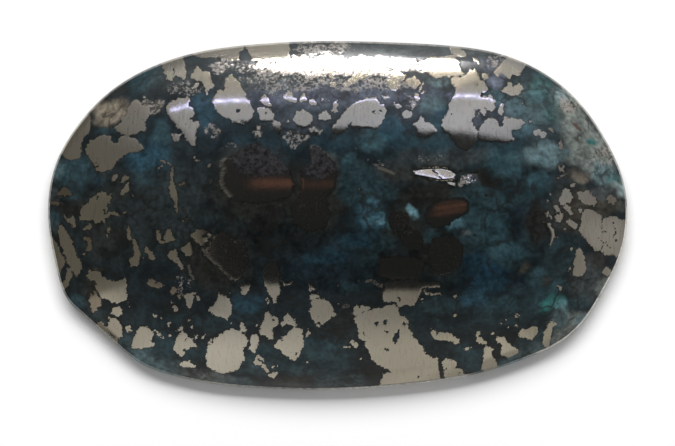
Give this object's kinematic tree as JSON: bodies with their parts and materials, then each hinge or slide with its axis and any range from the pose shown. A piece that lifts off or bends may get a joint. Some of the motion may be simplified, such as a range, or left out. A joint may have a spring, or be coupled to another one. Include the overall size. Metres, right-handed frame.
{
  "type": "turquoise cabochon",
  "caption": "Polished oval cabochon of dark blue turquoise with flush brassy pyrite grains, a domed face, a narrow girdle and a flat back to set or glue.",
  "frame": {"origin": "middle of the flat back, under the middle of the stone's outline", "axes": "+X along the stone to its fuller end, +Y across it, +Z out of the domed face"},
  "size_m": [0.0463, 0.0279, 0.0073],
  "materials": {
    "polished_turquoise": "polished"
  },
  "bodies": {
    "root": {"cabochon": "polished_turquoise"}
  },
  "joints": []
}
